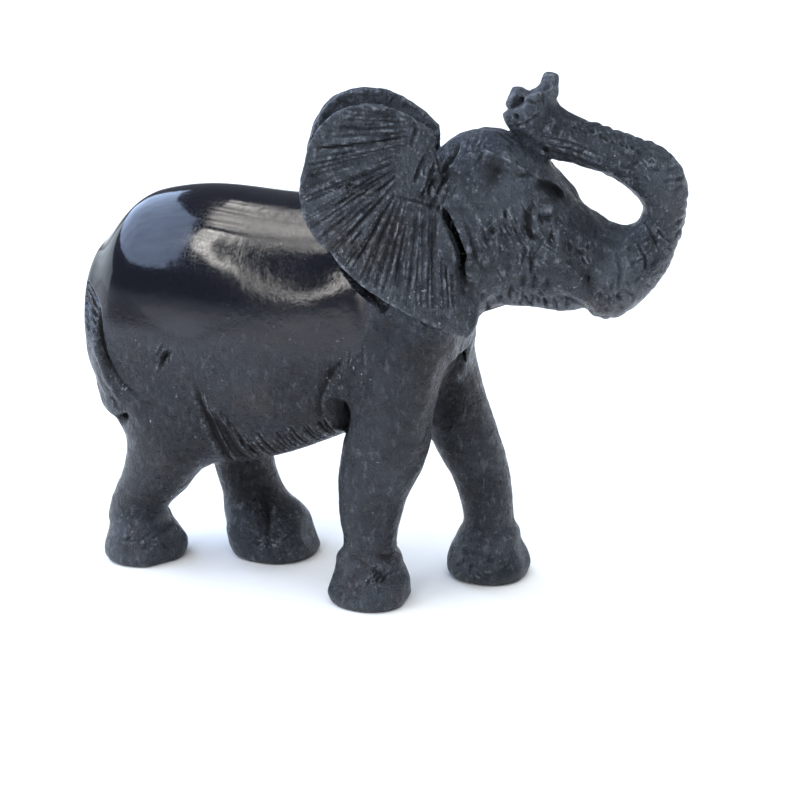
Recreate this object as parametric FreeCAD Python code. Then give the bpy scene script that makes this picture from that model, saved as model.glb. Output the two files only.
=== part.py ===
"""Carved wooden elephant, walking with its trunk curled up and back over its forehead.

Units are millimetres. +X is the way the elephant walks, +Y its left side and +Z up. The origin is
on the floor under the middle of the figure's box.

The figure is built as a carver blocks it out: the torso, the head and trunk, the ears, the legs
with their feet, and the tail are each one solid. They meet face to face, with no overlap.
"""

import math
import os

import FreeCAD
import Part

Vector = FreeCAD.Vector
FORWARD = Vector(1, 0, 0)
SIDE = Vector(0, 1, 0)
UP = Vector(0, 0, 1)

# Driving dimensions
TURN_DEG = 10.0  # the head looks this far to the elephant's left
TURN_PIVOT = Vector(12.0, 0.0, 0.0)  # the neck's turning line, at the front of the back
RING_POINTS = 16  # points round each carved cross-section
EAR_THICKNESS = 3.4
EAR_CURVE_RADIUS = 80.0  # the ear is a patch of a gently rounded sheet
LEFT_EAR_STRETCH = 1.1  # the left ear is this much longer from front to back than the right one,
LEFT_EAR_SWEEP_DEG = 13.0  # laid back by this much more,
LEFT_EAR_PITCH_DEG = 5.0  # tipped forward by this much
LEFT_EAR_SHIFT = Vector(-4.0, 0.0, -2.6)  # and set here beside the place that mirrors the right
EYE_RADIUS = 2.3
EYE_PLACE = (43.4, 11.6, 95.0)  # the left eye's centre in the head's own frame
ANKLE_HEIGHT = 10.5  # where each leg begins, above its foot
PARTS_FOLDER = "parts"

# The back and belly, as cross-sections from the rump to the neck. Each is the point on the top
# line, the point on the bottom line (both x, z) and the half width.
TORSO_RINGS = [
    ((-70.4, 66.0), (-70.4, 58.0), 4.0),
    ((-68.8, 74.6), (-68.8, 49.0), 11.0),
    ((-65.0, 81.6), (-65.2, 39.6), 15.8),
    ((-59.0, 88.4), (-60.0, 32.0), 19.2),
    ((-50.0, 93.2), (-51.0, 27.4), 21.5),
    ((-38.0, 94.8), (-38.5, 25.6), 22.6),
    ((-25.0, 94.3), (-26.0, 27.8), 23.5),
    ((-12.0, 93.9), (-12.5, 33.0), 23.4),
    ((-1.0, 94.4), (1.0, 39.2), 22.0),
    ((7.0, 95.8), (13.0, 44.5), 19.6),
    ((13.0, 98.6), (23.5, 54.0), 17.5),
]

# Neck and head, from the neck joint to the root of the trunk, in the same form, with the share of
# the head's turn that each section has taken.
HEAD_RINGS = [
    ((13.0, 98.6), (23.5, 54.0), 17.5, 0.0),
    ((17.0, 105.2), (26.0, 62.5), 17.0, 0.4),
    ((22.0, 109.6), (28.2, 68.6), 16.5, 0.8),
    ((29.0, 111.4), (32.0, 72.0), 16.2, 1.0),
    ((36.0, 109.6), (38.0, 72.6), 15.6, 1.0),
    ((43.0, 104.2), (44.0, 72.6), 14.2, 1.0),
    ((48.8, 96.8), (50.0, 72.2), 12.6, 1.0),
    ((53.8, 92.6), (53.0, 71.0), 11.2, 1.0),
]

# The trunk, from its root round the loop and back to the forehead: the point on the inside of the
# loop, the point on the outside and the half width.
TRUNK_RINGS = [
    ((53.8, 92.6), (53.0, 71.0), 11.2),
    ((57.4, 90.6), (58.3, 68.8), 10.4),
    ((60.6, 90.2), (65.0, 73.4), 9.0),
    ((63.0, 91.4), (70.0, 80.0), 7.8),
    ((64.1, 93.4), (73.0, 88.4), 7.0),
    ((64.2, 95.2), (74.2, 96.4), 6.6),
    ((62.4, 97.4), (72.8, 103.6), 6.4),
    ((59.3, 99.8), (68.6, 107.8), 6.2),
    ((55.0, 102.0), (61.5, 110.5), 5.9),
    ((50.0, 103.6), (54.0, 112.9), 5.7),
    ((45.3, 104.6), (48.5, 114.6), 5.6),
    ((41.5, 105.8), (45.4, 115.9), 5.6),
]
TIP_RINGS = [
    ((41.5, 105.8), (45.4, 115.9), 5.6),
    ((37.0, 108.8), (44.3, 117.4), 5.9),
    ((33.6, 112.0), (43.9, 119.2), 6.2),
    ((32.2, 114.8), (44.2, 121.6), 5.6),
]
# The two fingers at the end of the trunk: foot and tip (x, z), and the radii there.
TIP_FINGERS = [
    ((42.0, 119.2), (42.9, 124.0), 2.6, 1.6),
    ((35.6, 117.0), (35.4, 120.8), 2.6, 1.3),
]
JAW_RINGS = [
    ((29.0, 78.0), (28.6, 69.4), 6.0),
    ((35.0, 79.0), (34.6, 71.0), 7.2),
    ((43.0, 78.0), (43.0, 70.6), 6.2),
    ((49.0, 76.0), (49.4, 70.4), 4.4),
    ((51.6, 74.2), (51.4, 71.4), 2.6),
]

# Legs, from above the ankle up into the body: x, y, z and the radii along X and Y.
FRONT_RIGHT_LEG = [
    (5.9, -13.0, ANKLE_HEIGHT, 6.7, 6.7),
    (6.0, -13.0, 14.0, 6.1, 6.3),
    (6.2, -13.0, 20.0, 7.1, 7.2),
    (6.9, -13.2, 26.0, 8.2, 8.0),
    (8.8, -13.6, 33.0, 9.6, 8.8),
    (10.8, -13.8, 41.0, 10.1, 9.2),
    (12.4, -13.6, 50.0, 10.4, 9.4),
    (13.8, -12.8, 60.0, 11.0, 9.6),
    (13.0, -11.0, 72.0, 9.6, 8.0),
    (11.6, -9.6, 79.0, 5.4, 4.6),
]
FRONT_LEFT_LEG = [
    (28.0, 11.6, ANKLE_HEIGHT, 6.7, 6.6),
    (27.8, 11.8, 14.0, 6.2, 6.3),
    (26.9, 12.2, 19.0, 6.4, 6.6),
    (25.6, 12.6, 24.0, 7.0, 7.0),
    (23.4, 12.8, 29.0, 7.9, 7.6),
    (20.6, 13.0, 35.0, 8.6, 8.2),
    (17.0, 13.2, 43.0, 9.2, 8.8),
    (14.2, 13.0, 52.0, 9.4, 9.2),
    (12.2, 12.4, 62.0, 9.2, 9.0),
    (11.2, 11.0, 72.0, 8.0, 7.6),
    (11.6, 9.6, 79.0, 5.4, 4.6),
]
REAR_RIGHT_LEG = [
    (-58.4, -8.0, ANKLE_HEIGHT, 7.4, 7.0),
    (-57.8, -8.2, 13.5, 7.4, 7.1),
    (-54.4, -8.8, 18.5, 8.8, 8.0),
    (-50.8, -9.6, 24.0, 9.5, 8.8),
    (-48.0, -10.4, 30.0, 10.2, 9.6),
    (-47.2, -10.8, 37.0, 10.8, 10.4),
    (-49.4, -10.8, 46.0, 12.8, 10.8),
    (-51.4, -10.4, 58.0, 13.0, 10.4),
    (-51.4, -9.4, 68.0, 8.0, 7.0),
]
REAR_LEFT_LEG = [
    (-30.8, 6.8, ANKLE_HEIGHT, 9.2, 7.6),
    (-32.8, 7.2, 14.0, 8.2, 7.2),
    (-35.0, 7.8, 18.0, 7.8, 7.2),
    (-37.2, 8.8, 24.0, 7.8, 7.6),
    (-39.6, 9.8, 31.0, 9.6, 8.6),
    (-42.0, 10.4, 39.0, 12.0, 10.0),
    (-43.8, 10.6, 48.0, 13.4, 10.6),
    (-45.2, 10.4, 58.0, 12.6, 10.2),
    (-45.6, 9.4, 68.0, 8.0, 7.0),
]

# The middle of each sole (x, y).
FRONT_RIGHT_SOLE = (5.4, -13.2)
FRONT_LEFT_SOLE = (27.4, 11.2)
REAR_RIGHT_SOLE = (-57.6, -7.8)
REAR_LEFT_SOLE = (-30.4, 6.4)

# Feet, from the flat sole up to the ankle: offset along X from the sole's middle, height, radius.
FOOT_PROFILE = [
    (0.6, 0.0, 9.3),
    (0.7, 1.4, 10.1),
    (0.7, 4.2, 10.2),
    (0.3, 7.4, 8.7),
]
REAR_LEFT_FOOT_PROFILE = [
    (3.0, 0.0, 10.5),
    (3.1, 1.4, 11.4),
    (2.9, 4.2, 11.9),
    (1.6, 7.4, 11.2),
]

# The tail lies against the rump and curls round to the right thigh: x, y, z and radius.
TAIL_PATH = [
    (-68.4, -1.0, 75.0, 2.1),
    (-69.4, -2.6, 68.5, 2.6),
    (-69.6, -4.4, 61.0, 2.9),
    (-68.0, -6.2, 54.0, 2.9),
    (-65.4, -8.4, 48.4, 2.8),
]
TUFT_PATH = [
    (-65.4, -8.4, 48.4, 2.8),
    (-62.4, -11.4, 44.2, 3.2),
    (-59.2, -14.8, 42.2, 3.1),
    (-56.0, -18.0, 42.6, 2.2),
    (-53.4, -19.8, 44.2, 0.9),
]

# The right ear's outline in the head's own frame (x, z), in three runs that meet at corners: over
# the top and down the back edge, along the lower edge to the tip, and up the front edge.
EAR_TOP_AND_BACK = [
    (18.8, 112.0),
    (13.0, 116.2),
    (6.0, 118.6),
    (0.0, 117.8),
    (-4.8, 114.4),
    (-8.0, 107.0),
    (-8.8, 100.0),
    (-7.2, 93.6),
    (-2.0, 87.4),
]
EAR_LOWER_EDGE = [(-2.0, 87.4), (8.0, 77.6), (18.0, 71.4), (27.6, 66.6)]
EAR_FRONT_EDGE = [
    (27.6, 66.6),
    (29.2, 72.0),
    (28.4, 82.0),
    (25.2, 93.0),
    (20.6, 103.0),
    (18.8, 112.0),
]
EAR_ANCHOR = Vector(6.0, -22.8, 95.0)  # a point on the right ear's outer face
EAR_FACING = Vector(0.31, -0.93, 0.16)  # the way that face looks
EAR_ROOT = Vector(24.0, 15.0, 95.0)  # the left ear turns about this point


def ring(centre, side, up, half_width, half_height, squareness=0.92):
    """Points round a closed, slightly squared oval."""
    points = []
    for k in range(RING_POINTS):
        angle = 2 * math.pi * k / RING_POINTS
        c, s = math.cos(angle), math.sin(angle)
        across = math.copysign(abs(c) ** squareness, c) * half_width
        along = math.copysign(abs(s) ** squareness, s) * half_height
        points.append(centre + side * across + up * along)
    return points


def profile_ring(top, bottom, half_width, turn=0.0):
    """The section between a point on the top line and a point on the bottom line."""
    high = Vector(top[0], 0.0, top[1])
    low = Vector(bottom[0], 0.0, bottom[1])
    up = (high - low).normalize()
    points = ring((high + low) * 0.5, SIDE, up, half_width, (high - low).Length / 2)
    rotation = FreeCAD.Rotation(UP, TURN_DEG * turn)
    return [TURN_PIVOT + rotation.multVec(point - TURN_PIVOT) for point in points]


def skin(rings):
    """One solid with a smooth side through the rings and a flat cap on the first and the last."""
    around = [k / RING_POINTS for k in range(RING_POINTS + 1)]
    sections = []
    for points in rings:
        section = Part.BSplineCurve()
        section.interpolate(Points=points, PeriodicFlag=True, Parameters=around)
        sections.append(section)
    centres = [sum(points, Vector()) * (1 / RING_POINTS) for points in rings]
    along = [0.0]
    for here, there in zip(centres, centres[1:]):
        along.append(along[-1] + (there - here).Length)
    along = [distance / along[-1] for distance in along]
    lines = []
    for poles in zip(*(section.getPoles() for section in sections)):
        line = Part.BSplineCurve()
        line.interpolate(Points=list(poles), Parameters=along)
        lines.append(line)
    surface = Part.BSplineSurface()
    surface.buildFromPolesMultsKnots(
        [line.getPoles() for line in lines],
        sections[0].getMultiplicities(),
        lines[0].getMultiplicities(),
        sections[0].getKnots(),
        lines[0].getKnots(),
        True,
        False,
        sections[0].Degree,
        lines[0].Degree,
    )
    side = surface.toShape()
    caps = [Part.Face(Part.Wire([edge])) for edge in side.Edges if edge.Closed]
    shell = Part.makeShell([side] + caps)
    shell.sewShape()
    solid = Part.Solid(shell)
    if solid.Volume < 0:
        solid.reverse()
    return solid


def turned(shape):
    """A shape from the head's own frame, turned with the head."""
    copy = shape.copy()
    copy.rotate(TURN_PIVOT, UP, TURN_DEG)
    return copy


def torso():
    return skin([profile_ring(*r) for r in TORSO_RINGS])


def head():
    return skin([profile_ring(*r) for r in HEAD_RINGS])


def trunk():
    return skin([profile_ring(*r, 1.0) for r in TRUNK_RINGS])


def trunk_tip():
    """The end of the trunk, with its two fingers."""
    tip = skin([profile_ring(*r, 1.0) for r in TIP_RINGS])
    for foot, end, foot_radius, end_radius in TIP_FINGERS:
        start = Vector(foot[0], 0.0, foot[1])
        stop = Vector(end[0], 0.0, end[1])
        cone = Part.makeCone(foot_radius, end_radius, (stop - start).Length, start, stop - start)
        tip = tip.fuse(turned(cone))
    return tip.removeSplitter().Solids[0]


def lower_jaw():
    return skin([profile_ring(*r, 1.0) for r in JAW_RINGS])


def level_ring(x, y, z, radius_x, radius_y):
    """A level oval section of a leg."""
    return ring(Vector(x, y, z), SIDE, FORWARD, radius_y, radius_x)


def leg(stations):
    return skin([level_ring(*station) for station in stations])


def foot(leg_stations, profile, middle):
    """A foot from its flat sole to the section where its leg begins."""
    x, y = middle
    rings = [level_ring(x + dx, y, z, radius, radius) for dx, z, radius in profile]
    return skin(rings + [level_ring(*leg_stations[0])])


def tail_strands():
    """The tail and its tuft. They share the section where they meet."""
    whole = TAIL_PATH + TUFT_PATH[1:]
    centres = [Vector(x, y, z) for x, y, z, radius in whole]
    rings = []
    for k, (centre, station) in enumerate(zip(centres, whole)):
        along = (centres[min(k + 1, len(whole) - 1)] - centres[max(k - 1, 0)]).normalize()
        side = along.cross(FORWARD).normalize()
        rings.append(ring(centre, side, side.cross(along), station[3], station[3], 1.0))
    split = len(TAIL_PATH)
    return skin(rings[:split]), skin(rings[split - 1 :])


def spline_edge(points, depth):
    """A smooth edge through (x, z) points at a given y."""
    curve = Part.BSplineCurve()
    curve.interpolate([Vector(x, depth, z) for x, z in points])
    return curve.toShape()


def right_ear(stretch=1.0):
    """The ear as a rounded sheet, cut to its outline, in the head's own frame."""
    outside = -60.0  # clear of the head
    edges = []
    for run in (EAR_TOP_AND_BACK, EAR_LOWER_EDGE, EAR_FRONT_EDGE):
        points = [(EAR_ROOT.x + (x - EAR_ROOT.x) * stretch, z) for x, z in run]
        edges.append(spline_edge(points, outside))
    outline = Part.Wire(edges)
    prism = Part.Face(outline).extrude(Vector(0, -outside, 0))
    facing = Vector(EAR_FACING).normalize()
    axis = (UP - facing * UP.dot(facing)).normalize()
    middle = EAR_ANCHOR - facing * EAR_CURVE_RADIUS
    reach = 100.0  # longer than the ear is tall
    base = middle - axis * reach
    outer = Part.makeCylinder(EAR_CURVE_RADIUS, 2 * reach, base, axis)
    inner = Part.makeCylinder(EAR_CURVE_RADIUS - EAR_THICKNESS, 2 * reach, base, axis)
    return prism.common(outer.cut(inner)).Solids[0]


def left_ear():
    """The right ear's mirror image, a little larger and laid back along the neck."""
    ear = right_ear(LEFT_EAR_STRETCH).mirror(Vector(), SIDE)
    ear.rotate(EAR_ROOT, UP, LEFT_EAR_SWEEP_DEG)
    ear.rotate(EAR_ROOT, SIDE, LEFT_EAR_PITCH_DEG)
    ear.translate(LEFT_EAR_SHIFT)
    return ear


def eye(side):
    """The carved eyeball, sunk into the side of the head."""
    x, y, z = EYE_PLACE
    return turned(Part.makeSphere(EYE_RADIUS, Vector(x, side * y, z)))


def only_solid(shape, name):
    """The one solid of a shape. A cut that splits a piece is a mistake."""
    if len(shape.Solids) != 1:
        raise ValueError(name + " is in " + str(len(shape.Solids)) + " solids")
    return shape.Solids[0]


def build():
    """Every node by name, fitted together without overlap."""
    pieces = {
        "torso": torso(),
        "head": head(),
        "lower_jaw": lower_jaw(),
        "trunk": trunk(),
        "trunk_tip": trunk_tip(),
        "right_ear": turned(right_ear()),
        "left_ear": turned(left_ear()),
        "right_eye": eye(-1),
        "left_eye": eye(1),
        "front_right_leg": leg(FRONT_RIGHT_LEG),
        "front_left_leg": leg(FRONT_LEFT_LEG),
        "rear_right_leg": leg(REAR_RIGHT_LEG),
        "rear_left_leg": leg(REAR_LEFT_LEG),
        "front_right_foot": foot(FRONT_RIGHT_LEG, FOOT_PROFILE, FRONT_RIGHT_SOLE),
        "front_left_foot": foot(FRONT_LEFT_LEG, FOOT_PROFILE, FRONT_LEFT_SOLE),
        "rear_right_foot": foot(REAR_RIGHT_LEG, FOOT_PROFILE, REAR_RIGHT_SOLE),
        "rear_left_foot": foot(REAR_LEFT_LEG, REAR_LEFT_FOOT_PROFILE, REAR_LEFT_SOLE),
    }
    pieces["tail"], pieces["tail_tuft"] = tail_strands()
    # What each larger piece is cut away for, so that the smaller one beds into it.
    beds = {
        "head": ["lower_jaw", "right_ear", "left_ear", "right_eye", "left_eye", "trunk_tip", "trunk"],
        "trunk": ["lower_jaw"],
        "front_right_leg": ["right_ear", "head"],
        "front_left_leg": ["left_ear", "head"],
        "rear_right_leg": ["tail", "tail_tuft"],
        "torso": [
            "right_ear",
            "left_ear",
            "head",
            "tail",
            "tail_tuft",
            "front_right_leg",
            "front_left_leg",
            "rear_right_leg",
            "rear_left_leg",
        ],
    }
    for name, others in beds.items():
        for other in others:
            pieces[name] = pieces[name].cut(pieces[other])
        pieces[name] = only_solid(pieces[name], name)
    return pieces


def stand_at_origin(pieces):
    """Moves the figure so that the middle of its box is over the origin, with its soles at z 0."""
    box = Part.makeCompound(list(pieces.values())).optimalBoundingBox()
    shift = Vector(-(box.XMin + box.XMax) / 2, -(box.YMin + box.YMax) / 2, 0.0)
    for shape in pieces.values():
        shape.translate(shift)
    print("size", box.XLength, box.YLength, box.ZLength)


def main():
    os.makedirs(PARTS_FOLDER, exist_ok=True)
    pieces = build()
    stand_at_origin(pieces)
    for name, shape in pieces.items():
        print(name, "valid", shape.isValid(), "volume", round(shape.Volume, 1))
        shape.exportStep(os.path.join(PARTS_FOLDER, name + ".step"))


main()
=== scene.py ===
"""The looks of the carved wooden elephant: tool-cut surface, polished back, floor, light and camera.

The CAD solids are merged into one distance field, in millimetres, so that legs, head and tail grow
out of the body as they do in one block of wood. Deep cuts are made in the field, fine tool marks
on the surface drawn from it, and the surface is then parted into one piece for each CAD node.
"""

import math

import bpy
import numpy as np
import openvdb
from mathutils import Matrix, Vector


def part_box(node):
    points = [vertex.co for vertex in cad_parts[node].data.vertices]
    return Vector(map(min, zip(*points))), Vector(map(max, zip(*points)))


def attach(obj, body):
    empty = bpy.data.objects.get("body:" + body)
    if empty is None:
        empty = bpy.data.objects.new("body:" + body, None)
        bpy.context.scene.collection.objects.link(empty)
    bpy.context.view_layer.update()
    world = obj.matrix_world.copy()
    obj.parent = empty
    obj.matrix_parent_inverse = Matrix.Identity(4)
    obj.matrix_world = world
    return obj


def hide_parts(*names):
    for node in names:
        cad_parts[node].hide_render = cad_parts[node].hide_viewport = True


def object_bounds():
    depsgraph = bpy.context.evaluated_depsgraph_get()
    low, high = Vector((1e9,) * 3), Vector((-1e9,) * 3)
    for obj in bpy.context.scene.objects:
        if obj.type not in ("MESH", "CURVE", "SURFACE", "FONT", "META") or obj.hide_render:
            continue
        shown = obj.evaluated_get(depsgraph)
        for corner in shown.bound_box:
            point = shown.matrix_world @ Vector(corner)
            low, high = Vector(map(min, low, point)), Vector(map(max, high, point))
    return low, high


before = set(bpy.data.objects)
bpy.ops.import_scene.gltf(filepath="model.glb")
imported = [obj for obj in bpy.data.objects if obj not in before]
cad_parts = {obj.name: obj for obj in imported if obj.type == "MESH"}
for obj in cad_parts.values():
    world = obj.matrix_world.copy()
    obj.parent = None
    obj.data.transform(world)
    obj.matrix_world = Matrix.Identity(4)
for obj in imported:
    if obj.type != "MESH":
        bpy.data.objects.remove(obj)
cad_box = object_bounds()

MM = 0.001
VOXEL = 0.36  # the field's grid, mm
BAND = 16  # how many voxels either side of a surface hold true distances
MARGIN = 2.0  # empty space round the figure, mm
FOOT_FLATS = 8  # chisel cuts round each foot
SIDE_REACH = 34.0  # how far out from the middle plane a deep cut is worked out, mm
MIDDLE_FADE = 3.0  # a one-sided deep cut is at full depth this far from the middle plane, mm
LIMIT_FADE = 2.5  # a stroke with limits is at full depth this far inside them, mm
LATTICE = 32  # how many random values a noise has along each axis before it repeats
FRONT_RIGHT_SOLE = (6.1, -13.2)  # the middle of that foot, from the construction origin, mm

# The head is turned to the figure's left about an upright line at the front of the back.
TURN = math.radians(10.0)
TURN_X = 12.0
RIGHT, LEFT, BOTH = -1.0, 1.0, 0.0  # the sign of y on each side of the figure

# Regions of wood in the order they are merged, with how far each flows into its neighbours, mm.
SOFT_REGIONS = {
    "torso": 0.5,
    "head": 0.8,
    "front_right_leg": 5.0,
    "front_left_leg": 5.0,
    "rear_right_leg": 5.0,
    "rear_left_leg": 5.0,
    "front_right_foot": 4.0,
    "front_left_foot": 4.0,
    "rear_right_foot": 3.0,
    "rear_left_foot": 5.0,
    "trunk": 1.2,
    "lower_jaw": 2.0,
}
CRISP_REGIONS = {
    "trunk_tip": 1.4,
    "right_ear": 1.6,
    "left_ear": 1.6,
    "right_eye": 0.3,
    "left_eye": 0.3,
    "tail": 0.8,
    "tail_tuft": 1.2,
}
CAD_NODES = list(SOFT_REGIONS) + list(CRISP_REGIONS)
POLISHED_NODE = "torso"

CURL_CENTRE = (56.0, 94.0)  # x and z of a point inside the trunk's curl, in the head's own frame, mm
CURL_NOTCHES = 42.0  # how many notches a full turn round that point would have

FLOOR_REACH = 4.0  # half the floor's width, metres
BACK_MIDDLE = (-0.02, 0.0, 0.08)  # where the light sheets' angles are measured from, metres
SHEET_DISTANCE = 1.1  # from there to the light sheets, metres
LAMP_WHITE = (1.0, 0.97, 0.93)

# The camera: what it looks at in figure millimetres, its angles in degrees and its distance in metres.
VIEW_AIM = (8.75, 0.0, 45.9)
VIEW_BEARING, VIEW_RISE = -70.0, 18.0
VIEW_DISTANCE = 0.42
SENSOR_WIDTH, LENS_LENGTH = 36.0, 79.4  # mm


def figure_origin():
    """Where the figure's construction origin lies in the row frame, mm."""
    low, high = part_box("front_right_foot")
    middle = (low + high) / 2 / MM
    x, y = FRONT_RIGHT_SOLE
    return np.array([middle.x - x, middle.y - y, 0.0], np.float32)


ORIGIN = figure_origin()


def node_surface(node):
    """A CAD node's points, in figure millimetres, and its triangles."""
    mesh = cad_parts[node].data
    mesh.calc_loop_triangles()
    points = np.empty(len(mesh.vertices) * 3, np.float32)
    mesh.vertices.foreach_get("co", points)
    triangles = np.empty(len(mesh.loop_triangles) * 3, np.int32)
    mesh.loop_triangles.foreach_get("vertices", triangles)
    points = points.reshape(-1, 3) / np.float32(MM) - ORIGIN
    return points, triangles.reshape(-1, 3).astype(np.uint32)


def from_head(points):
    """Turns (x, y, z) points of the head's own frame with the head."""
    points = np.asarray(points, np.float32).reshape(-1, 3)
    x, y = points[:, 0] - TURN_X, points[:, 1]
    c, s = math.cos(TURN), math.sin(TURN)
    return np.stack([TURN_X + c * x - s * y, s * x + c * y, points[:, 2]], 1)


def to_head(x, y):
    """The head's own x and y of figure points."""
    c, s = math.cos(TURN), math.sin(TURN)
    return TURN_X + c * (x - TURN_X) + s * y, -s * (x - TURN_X) + c * y


def smooth_min(a, b, radius):
    """The union of two distance fields, with a fillet."""
    overlap = np.maximum(radius - np.abs(a - b), 0) / radius
    return np.minimum(a, b) - overlap * overlap * radius / 4


def blur(values, passes):
    """Smooths an array in place along each of its three axes."""
    for _ in range(passes):
        for axis in range(3):
            v = np.moveaxis(values, axis, 0)
            v[1:-1] = (v[:-2] + 2 * v[1:-1] + v[2:]) / 4


class Stroke:
    """One cut or ridge: a line of (x, z) points seen from the side, a half width and a depth.

    A negative depth raises a ridge. head says that the points are in the head's own frame.
    limits are the lowest and highest y that the stroke reaches, if it has any.
    """

    def __init__(
        self, points, width, depth, side=RIGHT, head=False, taper=0.5, sharp=False, limits=None
    ):
        self.points = np.asarray(points, np.float32)
        self.width, self.depth, self.side, self.head = width, depth, side, head
        self.taper, self.sharp, self.limits = taper, sharp, limits

    def relief(self, x, z):
        """How far the surface goes in at each place."""
        along, nearest = np.zeros(x.shape, np.float32), np.full(x.shape, 1e6, np.float32)
        starts, ends = self.points[:-1], self.points[1:]
        if len(self.points) == 1:
            starts = ends = self.points
        lengths = np.hypot(*(ends - starts).T)
        total = max(float(lengths.sum()), 1e-6)
        done = 0.0
        for (ax, az), (bx, bz), length in zip(starts, ends, lengths):
            ux, uz = bx - ax, bz - az
            t = np.clip(((x - ax) * ux + (z - az) * uz) / max(length * length, 1e-6), 0, 1)
            distance = np.hypot(x - ax - t * ux, z - az - t * uz)
            closer = distance < nearest
            nearest = np.where(closer, distance, nearest)
            along = np.where(closer, (done + t * length) / total, along)
            done += float(length)
        ends_fade = np.clip(np.sin(np.pi * along), 0, 1) ** self.taper if len(self.points) > 1 else 1.0
        reach = np.clip(1 - nearest / (self.width * (0.5 + 0.5 * ends_fade)), 0, 1)
        shape = reach if self.sharp else reach * reach * (3 - 2 * reach)
        return self.depth * shape * ends_fade

    def across(self, y):
        """1 between the stroke's limits in y, and 0 beyond them."""
        if self.limits is None:
            return 1.0
        low, high = self.limits
        return step(np.minimum(y - low, high - y), 0, LIMIT_FADE)


class Field:
    """Signed distance to the carving on a grid, negative inside, with the region each voxel is in."""

    def __init__(self, low, high):
        self.low = np.floor((low - MARGIN) / VOXEL).astype(int)
        self.shape = tuple(np.ceil((high + MARGIN) / VOXEL).astype(int) - self.low + 1)
        self.background = BAND * VOXEL
        self.distance = np.full(self.shape, self.background, np.float32)
        self.nearest = np.full(self.shape, 1e6, np.float32)
        self.region = np.zeros(self.shape, np.int8)

    def window(self, low, high):
        """The part of the grid between two corners, as slices."""
        first = np.floor(np.asarray(low) / VOXEL).astype(int) - self.low
        last = np.ceil(np.asarray(high) / VOXEL).astype(int) - self.low + 1
        first, last = np.clip(first, 0, self.shape), np.clip(last, 0, self.shape)
        return tuple(slice(a, b) for a, b in zip(first, last))

    def places(self, window):
        """The x, y and z of a window's voxels, ready to broadcast."""
        axes = [
            ((np.arange(s.start, s.stop) + low) * VOXEL).astype(np.float32)
            for s, low in zip(window, self.low)
        ]
        return np.ix_(*axes)

    def merge(self, node, index, radius):
        """Adds a CAD node's solid. Feet are pared to flats first."""
        points, triangles = node_surface(node)
        reach = self.background
        window = self.window(points.min(0) - reach, points.max(0) + reach)
        grid = openvdb.FloatGrid.createLevelSetFromPolygons(
            points,
            triangles=triangles,
            transform=openvdb.createLinearTransform(VOXEL),
            halfWidth=BAND,
        )
        values = np.empty(tuple(s.stop - s.start for s in window), np.float32)
        grid.copyToArray(values, ijk=tuple(int(s.start + l) for s, l in zip(window, self.low)))
        if node.endswith("foot"):
            values = self.pared(values, points, window, seed=80 + index)
        self.distance[window] = smooth_min(self.distance[window], values, radius)
        closer = values < self.nearest[window]
        self.region[window][closer] = index
        self.nearest[window] = np.minimum(self.nearest[window], values)

    def cut(self, stroke, only=None):
        """Makes one deep cut, or raises one high ridge, on the stroke's side or on both.

        only is the index of the one CAD node that it cuts, if it doesn't cut them all.
        """
        reach = stroke.width + 1.0
        x, z = stroke.points[:, 0], stroke.points[:, 1]
        sides = (0, SIDE_REACH * stroke.side) if stroke.side else (-SIDE_REACH, SIDE_REACH)
        corners = [(a, y, 0) for a in (x.min(), x.max()) for y in sides]
        corners = from_head(corners) if stroke.head else np.asarray(corners, np.float32)
        low, high = corners.min(0) - reach, corners.max(0) + reach
        low[2], high[2] = z.min() - reach, z.max() + reach
        window = self.window(low, high)
        px, py, pz = self.places(window)
        if stroke.head:
            px, py = to_head(px, py)
        px, py, pz = np.broadcast_arrays(px, py, pz)
        depth = stroke.relief(px, pz) * stroke.across(py)
        if stroke.side:
            depth = depth * np.clip(py * stroke.side / MIDDLE_FADE, 0, 1)
        if only is not None:
            depth = depth * (self.region[window] == only)
        self.distance[window] += depth

    def pared(self, values, points, window, seed):
        """A foot's distances after flat cuts round it, as from a wide chisel."""
        rng = np.random.default_rng(seed)
        x, y, z = self.places(window)
        for k in range(FOOT_FLATS):
            turn = 2 * math.pi * (k + rng.uniform(-0.3, 0.3)) / FOOT_FLATS
            rise = math.radians(rng.uniform(-8, 38))
            level = math.cos(rise)
            face = np.array([math.cos(turn) * level, math.sin(turn) * level, math.sin(rise)])
            limit = (points @ face).max() - rng.uniform(0.4, 1.8)
            values = np.maximum(values, x * face[0] + y * face[1] + z * face[2] - limit)
        return values.astype(np.float32)

    def bend(self, points):
        """How the surface curves at each point: above 0 in hollows, below 0 on edges and bumps."""
        soft = self.distance.copy()
        blur(soft, 9)
        spot = self.voxel_of(points)
        return self.distance[spot] - soft[spot]

    def surface(self):
        """The carving's surface as points and outward-facing quads."""
        grid = openvdb.FloatGrid(self.background)
        grid.copyFromArray(self.distance, ijk=tuple(int(v) for v in self.low))
        grid.transform = openvdb.createLinearTransform(VOXEL)
        points, quads = grid.convertToQuads(0.0)
        return np.asarray(points, np.float32), np.asarray(quads, np.int64)

    def voxel_of(self, points):
        """The grid place of the voxel nearest each point."""
        index = np.rint(points / VOXEL).astype(int) - self.low
        return tuple(np.clip(index, 0, np.array(self.shape) - 1).T)

    def region_at(self, points):
        """The index of the CAD node that each point belongs to."""
        return self.region[self.voxel_of(points)]


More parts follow.
